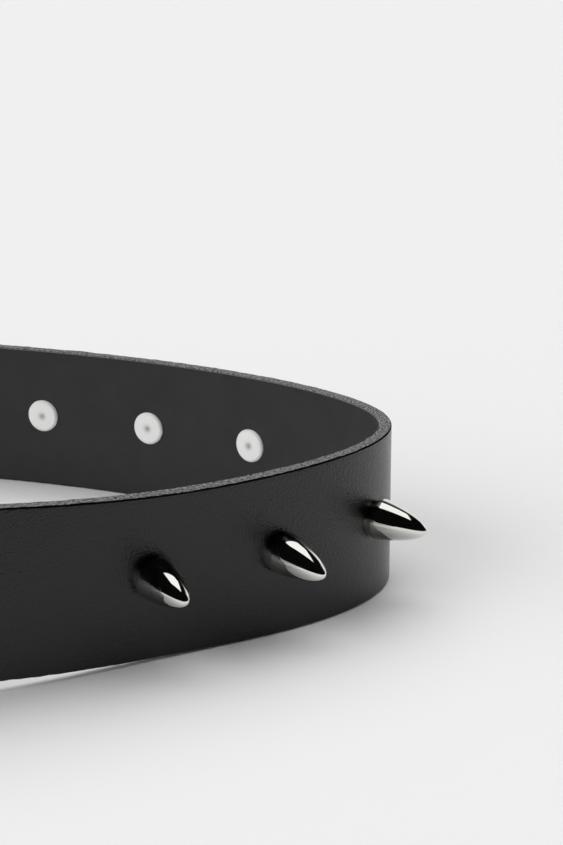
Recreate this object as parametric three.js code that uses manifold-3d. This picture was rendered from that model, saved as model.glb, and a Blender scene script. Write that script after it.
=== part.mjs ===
// A studded leather belt, fastened to a closed loop that stands on its lower edge.
// Millimetres, +Z up, +X along the longer way of the loop. The buckle is on the -Y side.
//
// Every place on the belt is given by three numbers: s runs along the outer face from the
// right-hand end of the loop (positive over the +Y side), n stands outward from that face,
// and z goes up from the strap's lower edge.

import * as THREE from 'three';
import { mergeVertices } from 'three/addons/utils/BufferGeometryUtils.js';
import Module from 'manifold-3d';

const wasm = await Module();
wasm.setup();

// Strap
const STRAP_WIDTH = 38;
const STRAP_THICKNESS = 3;
const LOOP_LENGTH = 930; // once round the outer face of the fastened loop
const END_RADIUS = 31; // tightest bend, at the two ends of the loop
const END_SPREAD = 21; // how far from an end the bend has fallen to half
const TIP_LENGTH = 125; // from the prong hole in use to the point of the strap
const TIP_TAPER = 26; // length of the pointed end
const TIP_NARROWING = 0.88; // share of the width that is gone at the point
const TIP_CURVE = 1.9; // how late the taper turns in
const FOLD_LENGTH = 46; // leather turned back inside the buckle
const LIFT_RUN = 155; // length of strap that sags from the buckle down to the surface
const LIFT_EASE = 1.6; // 1 sags evenly, more runs out flat for longer

// Studs
const STUD_PITCH = 33;
const STUDS_IN_GROUP = 3;
const GROUP_PITCH = 142.5;
const FIRST_GROUP = -50.2; // centre of the first group, from the right-hand end
const BARE_LENGTH = 360; // between the centres of the two groups beside the buckle
const LAST_GROUP_SLACK = 0.2; // how much of a pitch the last group may come nearer the buckle
const STUD_RISE = 0.5; // how far the row of studs stands above the strap's middle
const SPIKE_DIAMETER = 9.8;
const SPIKE_LENGTH = 13.5;
const SPIKE_TAPER = 1.2; // 1 narrows from the collar on, more keeps the body full for longer
const SPIKE_NOSE = 0.52; // 1 is a sharp point, 0.5 a round nose
const COLLAR_DIAMETER = 9;
const COLLAR_HEIGHT = 0.8;
const RIVET_HEAD_DIAMETER = 8.8;
const RIVET_HEAD_HEIGHT = 0.7;
const POST_DIAMETER = 3;
const POST_GRIP = 5; // how far the post reaches out past the strap's face

// Buckle and keeper
const HOLE_PITCH = 25;
const HOLES_EACH_SIDE = 2; // of the prong hole in use
const HOLE_FROM_GROUP = 147.4; // from the first group's centre to the prong hole in use
const PRONG_HOLE_LENGTH = 8;
const PRONG_DIAMETER = 3;
const BAR_THICKNESS = 3.6;
const FRONT_BAR_WIDTH = 5;
const SIDE_BAR_WIDTH = 6.5;
const FRONT_BAR_REACH = 9; // from the prong hole to the middle of the front bar
const HEEL_BAR_REACH = 22; // from the prong hole back to the middle of the heel bar
const FRAME_CORNER = 5;
const BAR_CHAMFER = 0.8;
const WINDOW_SIDE_GAP = 1;
const KEEPER_WIDTH = 11;
const KEEPER_THICKNESS = 2;
const KEEPER_REACH = 22; // from the heel bar to the middle of the keeper
const WRAP_SHARE = 0.55; // inner radius of the leather round the heel bar, of the bar's thickness
const SETTLE_SHARE = 0.9; // the fold lies flat by this share of the way to the keeper

// Fits
const CLEARANCE = 0.3;
const HOLE_CLEARANCE = 0.5; // round a prong, to each side
const CUT_PAST = 1; // how far a cutter stands out of the leather

// Smoothness
const SPIKE_SIDES = 14;
const RIVET_SIDES = 10;
const HOLE_SIDES = 10;
const CHORD_SAG = 0.09; // how far a flat facet of the strap may stand off the true curve
const LONGEST_STEP = 18;
const PLAN_STEP = 0.5;
const TAPER_SHARES = [0, 0.06, 0.15, 0.31, 0.5, 0.73]; // places of the sections along the pointed end
const CLIMB_STEPS = 5;
const WRAP_STEPS = 6;
const SETTLE_STEPS = 4;
const SPIKE_SHARES = [0, 0.14, 0.32, 0.52, 0.7, 0.85, 0.95]; // places of the rings up the spike's body

// Places along the strap that several pieces share
const QUARTER = LOOP_LENGTH / 4;
const PRONG_HOLE = FIRST_GROUP - HOLE_FROM_GROUP;
const HEEL_BAR = PRONG_HOLE - HEEL_BAR_REACH;
const FRONT_BAR = PRONG_HOLE + FRONT_BAR_REACH;
const TIP = PRONG_HOLE - TIP_LENGTH;
const BUCKLE_MIDDLE = (HEEL_BAR + FRONT_BAR) / 2;
const BUCKLE_HALF = (FRONT_BAR - HEEL_BAR) / 2;
const WRAP_RADIUS = BAR_THICKNESS * WRAP_SHARE + CLEARANCE;
const HEEL_DEPTH = -STRAP_THICKNESS - WRAP_RADIUS;
const FRONT_DEPTH = CLEARANCE + BAR_THICKNESS / 2;
const LAP = STRAP_THICKNESS + CLEARANCE; // how far one layer lies outside the next
const BUCKLE_LIFT = SIDE_BAR_WIDTH + WINDOW_SIDE_GAP;
const FRAME_RISE = STRAP_WIDTH / 2 + BUCKLE_LIFT; // half the height of the buckle frame

// The strap's lower edge stands in under its upper edge where the belt faces the viewer.
const LEAN = 0.095 * STRAP_WIDTH;
const LEAN_MIDDLE = -2.05 * STRAP_WIDTH;
const LEAN_SPREAD = 0.9 * STRAP_WIDTH;

const BLACK_LEATHER = new THREE.MeshStandardMaterial({ color: '#2a2929', roughness: 0.62 });
const CHROME = new THREE.MeshStandardMaterial({ color: '#dcdedf', roughness: 0.08, metalness: 1 });
const SATIN_NICKEL = new THREE.MeshStandardMaterial({ color: '#cfd0cf', roughness: 0.35, metalness: 1 });

function smoothStep(q) {
  const t = THREE.MathUtils.clamp(q, 0, 1);
  return t * t * (3 - 2 * t);
}

/** Brings a length along the loop to the range from -LOOP_LENGTH/2 to LOOP_LENGTH/2. */
function wrapped(s) {
  return s - LOOP_LENGTH * Math.round(s / LOOP_LENGTH);
}

/** Bend of the outer face: greatest at the two ends, falling to a nearly even bend along the sides. */
const endBend = 1 / END_RADIUS;
const spreadTurn = END_SPREAD * Math.atan(QUARTER / END_SPREAD);
const sideBend = (Math.PI / 2 - endBend * spreadTurn) / (QUARTER - spreadTurn);

function bendAt(s) {
  const fromEnd = Math.min(Math.abs(wrapped(s)), Math.abs(wrapped(s - 2 * QUARTER)));
  return sideBend + (endBend - sideBend) / (1 + (fromEnd / END_SPREAD) ** 2);
}

/** The outer face seen from above, walked in short even steps from the right-hand end. */
function walkPlan() {
  const steps = Math.round(LOOP_LENGTH / PLAN_STEP);
  const step = LOOP_LENGTH / steps;
  const points = [{ x: 0, y: 0, heading: Math.PI / 2 }];
  for (let i = 0; i < steps; i += 1) {
    const { x, y, heading } = points[i];
    const turn = bendAt((i + 0.5) * step) * step;
    const along = heading + turn / 2;
    points.push({ x: x + step * Math.cos(along), y: y + step * Math.sin(along), heading: heading + turn });
  }
  const middle = points[Math.round(steps / 2)].x / 2;
  for (const point of points) point.x -= middle;
  return { points, step };
}

const plan = walkPlan();

function planAt(s) {
  const along = THREE.MathUtils.euclideanModulo(s, LOOP_LENGTH) / plan.step;
  const i = Math.min(Math.floor(along), plan.points.length - 2);
  const [a, b] = [plan.points[i], plan.points[i + 1]];
  const mix = (key) => THREE.MathUtils.lerp(a[key], b[key], along - i);
  return { x: mix('x'), y: mix('y'), heading: mix('heading') };
}

/** Height of the strap's lower edge: the buckle frame stands on the surface and lifts it. */
function liftAt(s) {
  const past = Math.abs(wrapped(s - BUCKLE_MIDDLE)) - BUCKLE_HALF;
  const share = THREE.MathUtils.clamp(1 - past / LIFT_RUN, 0, 1);
  return BUCKLE_LIFT * smoothStep(share ** LIFT_EASE);
}

function leanAt(s) {
  const from = wrapped(s - LEAN_MIDDLE) / LEAN_SPREAD;
  return Math.asin((LEAN / STRAP_WIDTH) * Math.exp(-from * from));
}

/** The directions that n and z point in at s, and the point on the outer upper edge. */
function frameAt(s) {
  const { x, y, heading } = planAt(s);
  const outward = new THREE.Vector3(Math.sin(heading), -Math.cos(heading), 0);
  const up = new THREE.Vector3(0, 0, 1);
  const lean = leanAt(s);
  const normal = outward.clone().multiplyScalar(Math.cos(lean)).addScaledVector(up, -Math.sin(lean));
  const height = up.clone().multiplyScalar(Math.cos(lean)).addScaledVector(outward, Math.sin(lean));
  const edge = new THREE.Vector3(x, y, liftAt(s) + STRAP_WIDTH * Math.cos(lean));
  return { normal, height, edge };
}

function place(s, n, z) {
  const { normal, height, edge } = frameAt(s);
  return edge.addScaledVector(normal, n).addScaledVector(height, z - STRAP_WIDTH);
}

/** Turns a geometry drawn with x, y, z meaning s, z, n into the belt's own space. */
function bendOntoBelt(geometry, depthAt = () => 0) {
  const position = geometry.getAttribute('position');
  for (let i = 0; i < position.count; i += 1) {
    const s = position.getX(i);
    const point = place(s, position.getZ(i) + depthAt(s), position.getY(i));
    position.setXYZ(i, point.x, point.y, point.z);
  }
  return geometry;
}

function toSolid(geometry) {
  const bare = geometry.clone();
  bare.deleteAttribute('normal');
  bare.deleteAttribute('uv');
  const merged = mergeVertices(bare, 1e-4);
  const triVerts = new Uint32Array(merged.index.array);
  // A drawn axis order of s, z, n is left-handed once it is bent, so its faces are turned over.
  const vertProperties = new Float32Array(merged.getAttribute('position').array);
  if (enclosedVolume(vertProperties, triVerts) < 0) {
    for (let i = 0; i < triVerts.length; i += 3) {
      [triVerts[i + 1], triVerts[i + 2]] = [triVerts[i + 2], triVerts[i + 1]];
    }
  }
  return new wasm.Manifold(new wasm.Mesh({ numProp: 3, vertProperties, triVerts }));
}

function enclosedVolume(vertices, triangles) {
  const corner = (i) => new THREE.Vector3().fromArray(vertices, 3 * triangles[i]);
  let volume = 0;
  for (let i = 0; i < triangles.length; i += 3) {
    volume += corner(i).dot(corner(i + 1).cross(corner(i + 2))) / 6;
  }
  return volume;
}

function toGeometry(solid) {
  const { vertProperties, triVerts, numProp } = solid.getMesh();
  const geometry = new THREE.BufferGeometry();
  const positions = new Float32Array((vertProperties.length / numProp) * 3);
  for (let i = 0; i < positions.length / 3; i += 1) {
    for (let axis = 0; axis < 3; axis += 1) positions[3 * i + axis] = vertProperties[numProp * i + axis];
  }
  geometry.setAttribute('position', new THREE.BufferAttribute(positions, 3));
  geometry.setIndex(Array.from(triVerts));
  geometry.computeVertexNormals();
  return geometry;
}

function makeMesh(name, geometry, material) {
  const mesh = new THREE.Mesh(geometry, material);
  mesh.name = name;
  return mesh;
}

/** Lengths between two ends, closer together where the belt bends more. */
function stationsBetween(start, end) {
  const list = [start];
  while (list.at(-1) < end) {
    const s = list.at(-1);
    const sharpest = Math.max(bendAt(s), bendAt(s + LONGEST_STEP / 4), bendAt(s + LONGEST_STEP / 2));
    const step = Math.min(LONGEST_STEP, Math.sqrt((8 * CHORD_SAG) / sharpest));
    list.push(s + 1.2 * step < end ? s + step : end);
  }
  return list;
}

/** How far the free end of the strap stands outside the loop: it climbs over the buckle's heel. */
function lapAt(s) {
  const climbStart = PRONG_HOLE - PRONG_HOLE_LENGTH / 4;
  const climbEnd = HEEL_BAR + WRAP_RADIUS + STRAP_THICKNESS;
  return LAP * smoothStep((climbStart - s) / (climbStart - climbEnd));
}

/** Half the strap's width: full, then drawn in to a blunt point at the free end. */
function halfWidthAt(fromTip) {
  const share = THREE.MathUtils.clamp(1 - fromTip / TIP_TAPER, 0, 1);
  return (STRAP_WIDTH / 2) * (1 - TIP_NARROWING * share ** TIP_CURVE);
}

/**
 * Cross-sections of the leather in order from the free point to the end of the fold.
 * Each has the length and depth of its finished face and of its flesh side.
 */
function strapSections() {
  const sections = [];
  const add = (s, n, halfWidth) => {
    sections.push({ face: [s, n], flesh: [s, n - STRAP_THICKNESS], halfWidth });
  };
  for (const share of TAPER_SHARES) {
    const fromTip = share * TIP_TAPER;
    add(TIP + fromTip, LAP, halfWidthAt(fromTip));
  }
  const climbEnd = HEEL_BAR + WRAP_RADIUS + STRAP_THICKNESS;
  for (const s of stationsBetween(TIP + TIP_TAPER, climbEnd)) add(s, LAP, STRAP_WIDTH / 2);
  const climb = PRONG_HOLE - PRONG_HOLE_LENGTH / 4 - climbEnd;
  for (let i = 1; i < CLIMB_STEPS; i += 1) {
    const s = climbEnd + (i / CLIMB_STEPS) * climb;
    add(s, lapAt(s), STRAP_WIDTH / 2);
  }
  const heelAgain = HEEL_BAR + LOOP_LENGTH;
  for (const s of stationsBetween(climbEnd + climb, heelAgain)) add(s, 0, STRAP_WIDTH / 2);
  for (let i = 1; i <= WRAP_STEPS; i += 1) {
    const angle = (Math.PI * i) / WRAP_STEPS;
    const around = (radius) => [heelAgain + radius * Math.sin(angle), HEEL_DEPTH + radius * Math.cos(angle)];
    const section = { face: around(WRAP_RADIUS + STRAP_THICKNESS), flesh: around(WRAP_RADIUS) };
    sections.push({ ...section, halfWidth: STRAP_WIDTH / 2 });
  }
  const settle = (KEEPER_REACH - KEEPER_WIDTH / 2) * SETTLE_SHARE;
  const backs = Array.from({ length: SETTLE_STEPS }, (_, i) => ((i + 1) / SETTLE_STEPS) * settle);
  for (const back of [...backs, (settle + FOLD_LENGTH) / 2, FOLD_LENGTH]) {
    const open = (2 * WRAP_RADIUS - CLEARANCE) * (1 - smoothStep(back / settle));
    const flesh = -STRAP_THICKNESS - CLEARANCE - open;
    const s = heelAgain - back;
    sections.push({ face: [s, flesh - STRAP_THICKNESS], flesh: [s, flesh], halfWidth: STRAP_WIDTH / 2 });
  }
  return sections;
}

function sweepSections(sections) {
  const positions = [];
  for (const { face, flesh, halfWidth } of sections) {
    const low = STRAP_WIDTH / 2 - halfWidth;
    const high = STRAP_WIDTH / 2 + halfWidth;
    for (const [[s, n], z] of [[face, low], [face, high], [flesh, high], [flesh, low]]) {
      positions.push(...place(s, n, z).toArray());
    }
  }
  const index = [];
  for (let i = 0; i < sections.length - 1; i += 1) {
    for (let side = 0; side < 4; side += 1) {
      const a = 4 * i + side;
      const b = 4 * i + ((side + 1) % 4);
      index.push(a, a + 4, b, b, a + 4, b + 4);
    }
  }
  const last = 4 * (sections.length - 1);
  index.push(0, 1, 2, 0, 2, 3, last, last + 2, last + 1, last, last + 3, last + 2);
  const geometry = new THREE.BufferGeometry();
  geometry.setAttribute('position', new THREE.Float32BufferAttribute(positions, 3));
  geometry.setIndex(index);
  return geometry;
}

/** A slot with round ends, drawn on the strap's face and cut from one depth to another. */
function slotCutter(start, end, width, fromDepth, toDepth) {
  const radius = width / 2;
  const middle = STRAP_WIDTH / 2;
  const outline = new THREE.Shape();
  outline.absarc(end - radius, middle, radius, -Math.PI / 2, Math.PI / 2, false);
  outline.absarc(start + radius, middle, radius, Math.PI / 2, (3 * Math.PI) / 2, false);
  const depth = toDepth - fromDepth;
  const geometry = new THREE.ExtrudeGeometry(outline, { depth, bevelEnabled: false, curveSegments: 4 });
  geometry.translate(0, 0, fromDepth);
  return toSolid(bendOntoBelt(geometry));
}

function studPlaces() {
  const groups = Math.floor((LOOP_LENGTH - BARE_LENGTH) / GROUP_PITCH + LAST_GROUP_SLACK) + 1;
  const places = [];
  for (let group = 0; group < groups; group += 1) {
    for (let i = 0; i < STUDS_IN_GROUP; i += 1) {
      places.push(FIRST_GROUP + group * GROUP_PITCH + (i - (STUDS_IN_GROUP - 1) / 2) * STUD_PITCH);
    }
  }
  return places;
}

/** Sets an object in the row of studs, with its own +Z pointing out of the strap's face. */
function standOnStrap(object, s, n) {
  const { normal, height } = frameAt(s);
  const along = height.clone().cross(normal);
  object.quaternion.setFromRotationMatrix(new THREE.Matrix4().makeBasis(along, height, normal));
  object.position.copy(place(s, n, STRAP_WIDTH / 2 + STUD_RISE));
  return object;
}

function studHoleCutter(s) {
  const radius = POST_DIAMETER / 2 + CLEARANCE;
  const hole = new THREE.CylinderGeometry(radius, radius, 3 * STRAP_THICKNESS, HOLE_SIDES).rotateX(Math.PI / 2);
  const placed = standOnStrap(new THREE.Object3D(), s, -STRAP_THICKNESS / 2);
  placed.updateMatrix();
  return toSolid(hole.applyMatrix4(placed.matrix));
}

function makeStrap() {
  let solid = toSolid(sweepSections(strapSections()));
  for (const s of studPlaces()) solid = solid.subtract(studHoleCutter(s));
  const width = PRONG_DIAMETER + 2 * HOLE_CLEARANCE;
  const half = PRONG_HOLE_LENGTH / 2;
  for (let i = -HOLES_EACH_SIDE; i <= HOLES_EACH_SIDE; i += 1) {
    const s = PRONG_HOLE + i * HOLE_PITCH;
    const depth = lapAt(s);
    const below = depth - STRAP_THICKNESS - CLEARANCE / 2;
    solid = solid.subtract(slotCutter(s - half, s + half, width, below, depth + CUT_PAST));
  }
  // The prong leaves the fold through a slot round the heel bar.
  const slotStart = HEEL_BAR - 2.5 * PRONG_DIAMETER;
  const slotEnd = HEEL_BAR + WRAP_RADIUS + STRAP_THICKNESS + 2 * HOLE_CLEARANCE;
  const innermost = HEEL_DEPTH - WRAP_RADIUS - STRAP_THICKNESS - CUT_PAST;
  const slotWidth = PRONG_DIAMETER + 4 * HOLE_CLEARANCE;
  solid = solid.subtract(slotCutter(slotStart, slotEnd, slotWidth, innermost, CLEARANCE / 2));
  return makeMesh('strap', toGeometry(solid), BLACK_LEATHER);
}

/** Bullet-shaped stud: a short collar, then a body that narrows to a round nose. */
function spikeGeometry() {
  const collar = COLLAR_DIAMETER / 2;
  const body = SPIKE_DIAMETER / 2;
  const rise = SPIKE_LENGTH - COLLAR_HEIGHT;
  const bore = POST_DIAMETER / 2 + CLEARANCE;
  const boreDepth = POST_GRIP + CLEARANCE;
  const profile = [[0, boreDepth], [bore, boreDepth], [bore, 0], [collar, 0], [collar, COLLAR_HEIGHT]];
  for (const share of SPIKE_SHARES) {
    profile.push([body * (1 - share ** SPIKE_TAPER) ** SPIKE_NOSE, COLLAR_HEIGHT + share * rise]);
  }
  profile.push([0, SPIKE_LENGTH]);
  const points = profile.map(([r, z]) => new THREE.Vector2(r, z));
  return new THREE.LatheGeometry(points, SPIKE_SIDES).rotateX(Math.PI / 2);
}

/** Round low head on the inside of the strap, with its post through the leather into the stud. */
function rivetGeometry(seat) {
  const head = RIVET_HEAD_DIAMETER / 2;
  const post = POST_DIAMETER / 2;
  const postLength = seat + STRAP_THICKNESS + POST_GRIP;
  const rim = -0.45 * RIVET_HEAD_HEIGHT;
  const crown = -RIVET_HEAD_HEIGHT;
  const profile = [[0, crown], [0.55 * head, crown], [0.9 * head, 0.8 * crown], [head, rim], [head, 0], [post, 0]];
  profile.push([post, postLength], [0, postLength]);
  const points = profile.map(([r, z]) => new THREE.Vector2(r, z));
  return new THREE.LatheGeometry(points, RIVET_SIDES).rotateX(Math.PI / 2);
}

/** A flat head on the hollow inner face bears on its rim, so it sits further off where the belt bends. */
function rivetSeatAt(s) {
  const head = RIVET_HEAD_DIAMETER / 2;
  const innerBend = 1 / (1 / bendAt(s) - STRAP_THICKNESS);
  return CLEARANCE + CHORD_SAG + (head * head * innerBend) / 2;
}

function makeStuds() {
  const spikes = new THREE.Group();
  const rivets = new THREE.Group();
  studPlaces().forEach((s, i) => {
    const number = String(i + 1).padStart(2, '0');
    const seat = rivetSeatAt(s);
    const spike = makeMesh(`spike_${number}`, spikeGeometry(), CHROME);
    const rivet = makeMesh(`rivet_${number}`, rivetGeometry(seat), SATIN_NICKEL);
    spikes.add(standOnStrap(spike, s, CLEARANCE));
    rivets.add(standOnStrap(rivet, s, -STRAP_THICKNESS - seat));
  });
  return [spikes, rivets];
}

function roundedRectangle(path, left, right, low, high, corner, breaks = []) {
  path.moveTo(left + corner, low);
  for (const s of breaks) path.lineTo(s, low);
  path.lineTo(right - corner, low);
  path.absarc(right - corner, low + corner, corner, -Math.PI / 2, 0, false);
  path.lineTo(right, high - corner);
  path.absarc(right - corner, high - corner, corner, 0, Math.PI / 2, false);
  for (const s of [...breaks].reverse()) path.lineTo(s, high);
  path.lineTo(left + corner, high);
  path.absarc(left + corner, high - corner, corner, Math.PI / 2, Math.PI, false);
  path.lineTo(left, low + corner);
  path.absarc(left + corner, low + corner, corner, Math.PI, (3 * Math.PI) / 2, false);
  return path;
}

/** The frame lies under the strap at its heel bar and over it at its front bar. */
function frameDepthAt(s) {
  const start = HEEL_BAR + BAR_THICKNESS / 2;
  const end = FRONT_BAR - FRONT_BAR_WIDTH / 2;
  const share = THREE.MathUtils.clamp((s - start) / (end - start), 0, 1);
  return THREE.MathUtils.lerp(HEEL_DEPTH, FRONT_DEPTH, share);
}

function buckleFrame() {
  const heelInside = HEEL_BAR + BAR_THICKNESS / 2;
  const frontInside = FRONT_BAR - FRONT_BAR_WIDTH / 2;
  const left = HEEL_BAR - BAR_THICKNESS / 2;
  const right = FRONT_BAR + FRONT_BAR_WIDTH / 2;
  const middle = STRAP_WIDTH / 2;
  const window = STRAP_WIDTH / 2 + WINDOW_SIDE_GAP;
  const breaks = [left + FRAME_CORNER + BAR_CHAMFER, frontInside];
  const shape = new THREE.Shape();
  roundedRectangle(shape, left, right, middle - FRAME_RISE, middle + FRAME_RISE, FRAME_CORNER, breaks);
  const opening = new THREE.Path();
  const corner = 2 * BAR_CHAMFER;
  roundedRectangle(opening, heelInside, frontInside, middle - window, middle + window, corner);
  shape.holes.push(opening);
  const geometry = new THREE.ExtrudeGeometry(shape, {
    depth: BAR_THICKNESS - 2 * BAR_CHAMFER,
    bevelThickness: BAR_CHAMFER,
    bevelSize: BAR_CHAMFER,
    bevelOffset: -BAR_CHAMFER,
    bevelSegments: 1,
    curveSegments: 3,
  });
  geometry.translate(0, 0, BAR_CHAMFER - BAR_THICKNESS / 2);
  return toSolid(bendOntoBelt(geometry, frameDepthAt));
}

/** Runs from the heel bar under the strap, up through the hole and out over the front bar. */
function buckleProng() {
  const half = PRONG_HOLE_LENGTH / 2;
  const under = HEEL_DEPTH;
  const over = FRONT_DEPTH + BAR_THICKNESS / 2 + 0.8 * (PRONG_DIAMETER / 2);
  const middleDepth = -STRAP_THICKNESS / 2;
  const route = [
    [HEEL_BAR, under],
    [PRONG_HOLE - 1.9 * half, under],
    [PRONG_HOLE - 1.05 * half, under],
    [PRONG_HOLE - 0.6 * half, under + 0.2 * (middleDepth - under)],
    [PRONG_HOLE, middleDepth],
    [PRONG_HOLE + 0.6 * half, middleDepth + 0.62 * (over - middleDepth)],
    [PRONG_HOLE + 1.25 * half, over],
    [FRONT_BAR + 0.3 * FRONT_BAR_WIDTH, over],
  ];
  const curve = new THREE.CatmullRomCurve3(
    route.map(([s, n]) => place(s, n, STRAP_WIDTH / 2)),
    false,
    'catmullrom',
    0.35,
  );
  const section = new THREE.Shape().absarc(0, 0, PRONG_DIAMETER / 2, 0, 2 * Math.PI, false);
  const geometry = new THREE.ExtrudeGeometry(section, { extrudePath: curve, steps: 22, curveSegments: 4 });
  return toSolid(geometry);
}

function makeBuckle() {
  return makeMesh('buckle', toGeometry(buckleFrame().add(buckleProng())), SATIN_NICKEL);
}

/** A plain leather loop round the fold, the strap and the free end. */
function makeKeeper() {
  const innermost = -2 * STRAP_THICKNESS - 2 * CLEARANCE;
  const outermost = LAP + CLEARANCE;
  const ring = (path, grow) => {
    const low = -CLEARANCE - grow;
    const high = STRAP_WIDTH + CLEARANCE + grow;
    const corner = CLEARANCE + grow;
    return roundedRectangle(path, innermost - grow, outermost + grow, low, high, corner);
  };
  const shape = ring(new THREE.Shape(), KEEPER_THICKNESS);
  shape.holes.push(ring(new THREE.Path(), 0));
  const settings = { depth: KEEPER_WIDTH, steps: 2, bevelEnabled: false, curveSegments: 2 };
  const geometry = new THREE.ExtrudeGeometry(shape, settings);
  const middle = HEEL_BAR - KEEPER_REACH;
  // Drawn with x as depth and z as length, so the two change places before it is bent.
  const position = geometry.getAttribute('position');
  for (let i = 0; i < position.count; i += 1) {
    const [n, s] = [position.getX(i), position.getZ(i)];
    position.setX(i, s + middle - KEEPER_WIDTH / 2);
    position.setZ(i, n);
  }
  return makeMesh('keeper', toGeometry(toSolid(bendOntoBelt(geometry))), BLACK_LEATHER);
}

const belt = new THREE.Group();
belt.add(makeStrap(), makeBuckle(), makeKeeper(), ...makeStuds());

// The origin is on the surface, under the middle of everything.
const box = new THREE.Box3().setFromObject(belt, true);
const middle = box.getCenter(new THREE.Vector3());
belt.position.set(-middle.x, -middle.y, -box.min.z);

export default belt;
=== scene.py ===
"""Studded leather belt: the looks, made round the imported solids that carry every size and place.

A place on the belt has three numbers, in millimetres: s along the outer face from the right-hand
end of the loop, n outward from that face, and z up from the strap's lower edge.
"""

import math
from types import SimpleNamespace

import bpy
import numpy as np
from mathutils import Matrix, Vector


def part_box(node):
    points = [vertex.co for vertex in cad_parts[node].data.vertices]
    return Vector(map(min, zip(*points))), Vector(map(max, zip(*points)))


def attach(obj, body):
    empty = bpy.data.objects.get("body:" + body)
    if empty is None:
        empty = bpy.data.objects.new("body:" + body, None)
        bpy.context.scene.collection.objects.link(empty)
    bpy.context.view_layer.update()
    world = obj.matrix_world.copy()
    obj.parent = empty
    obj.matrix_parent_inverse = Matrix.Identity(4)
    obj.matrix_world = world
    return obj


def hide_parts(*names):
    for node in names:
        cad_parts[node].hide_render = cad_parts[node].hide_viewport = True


bl_info = {
    "name": "Studded Belt",
    "version": (1, 0, 0),
    "blender": (4, 5, 0),
    "location": "3D View > Sidebar > Belt",
    "description": "Builds a studded leather belt standing on its edge",
    "category": "Object",
}

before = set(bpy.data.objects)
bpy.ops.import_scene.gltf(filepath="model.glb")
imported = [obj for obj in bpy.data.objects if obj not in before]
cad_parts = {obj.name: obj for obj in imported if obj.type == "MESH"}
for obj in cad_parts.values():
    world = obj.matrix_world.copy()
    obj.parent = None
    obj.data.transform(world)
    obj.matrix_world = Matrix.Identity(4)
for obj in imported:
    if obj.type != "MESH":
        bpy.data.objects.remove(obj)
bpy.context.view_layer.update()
STRAP_LOW, STRAP_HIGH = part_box("strap")
SPIKES = sorted(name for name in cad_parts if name.startswith("spike_"))
RIVETS = sorted(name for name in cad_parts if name.startswith("rivet_"))

MM = 0.001
PLAN_STEP = 0.5
LIFT_EASE = 1.6  # 1 sags evenly, more runs out flat for longer
WRAP_SHARE = 0.55  # inner radius of the leather round the heel bar, of the bar's thickness
SETTLE_SHARE = 0.9  # the fold lies flat by this share of the way to the keeper

# The strap's lower edge stands in under its upper edge where the belt faces the viewer: how far,
# round which place and over what length, in strap widths.
LEAN, LEAN_MIDDLE, LEAN_SPREAD = 0.095, -2.05, 0.9


def srgb(text):
    """Turns an sRGB hex colour into the linear colour that Blender's shaders take."""
    channels = [int(text[i : i + 2], 16) / 255 for i in (1, 3, 5)]
    return [c / 12.92 if c <= 0.04045 else ((c + 0.055) / 1.055) ** 2.4 for c in channels]


def length(name, description, default):
    """A size given in millimetres, kept and shown in the sidebar as a length."""
    return bpy.props.FloatProperty(
        name=name, description=description, default=default * MM, min=0.0, precision=5, unit="LENGTH"
    )


def colour(name, description, default):
    return bpy.props.FloatVectorProperty(
        name=name, description=description, default=srgb(default), subtype="COLOR", size=3, min=0.0, max=1.0
    )


class StrapSizes(bpy.types.PropertyGroup):
    """Sizes of the leather strap and the way it runs."""

    width: length("Width", "Height of the strap as it stands on its edge", 38.0)
    thickness: length("Thickness", "One layer of leather", 3.0)
    loop_length: length("Loop length", "Once round the outer face of the fastened loop", 930.0)
    end_radius: length("End radius", "Tightest bend, at both ends of the loop", 31.0)
    end_spread: length("End spread", "How far from an end the bend has fallen to half", 21.0)
    tip_length: length("Tip length", "From the prong hole in use to the point", 125.0)
    tip_taper: length("Tip taper", "Length of the pointed end", 26.0)
    fold_length: length("Fold length", "Leather turned back inside the buckle", 46.0)
    lift_run: length("Lift run", "Strap that sags from the buckle to the surface", 155.0)
    edge_round: length("Edge rounding", "How far the strap's long edges are rounded down the face", 0.42)
    clearance: length("Clearance", "Gap between leather layers", 0.3)


class StudSizes(bpy.types.PropertyGroup):
    """Sizes and spacing of the studs."""

    pitch: length("Pitch", "Between studs of one group", 33.0)
    in_group: bpy.props.IntProperty(
        name="Studs in a group", description="How many stand together", default=3
    )
    group_pitch: length("Group pitch", "Between the centres of two groups", 142.5)
    first_group: length("First group", "Centre of the first group before the right-hand end", 50.2)
    rise: length("Rise", "Row of studs above the strap's middle", 0.5)
    spike_diameter: length("Spike diameter", "Widest part of a spike", 9.8)
    spike_length: length("Spike length", "From its seat to its tip", 13.5)
    collar_diameter: length("Collar diameter", "Short neck under the spike", 9.0)
    collar_height: length("Collar height", "Height of the neck", 0.8)
    head_diameter: length("Rivet head diameter", "Round back on the inner face", 8.8)
    head_height: length("Rivet head height", "Height of the round back", 0.7)
    dish_depth: length("Dish depth", "How far a stud presses the leather in", 0.3)
    dish_radius: length("Dish radius", "How far out the leather is pressed", 7.5)


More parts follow.
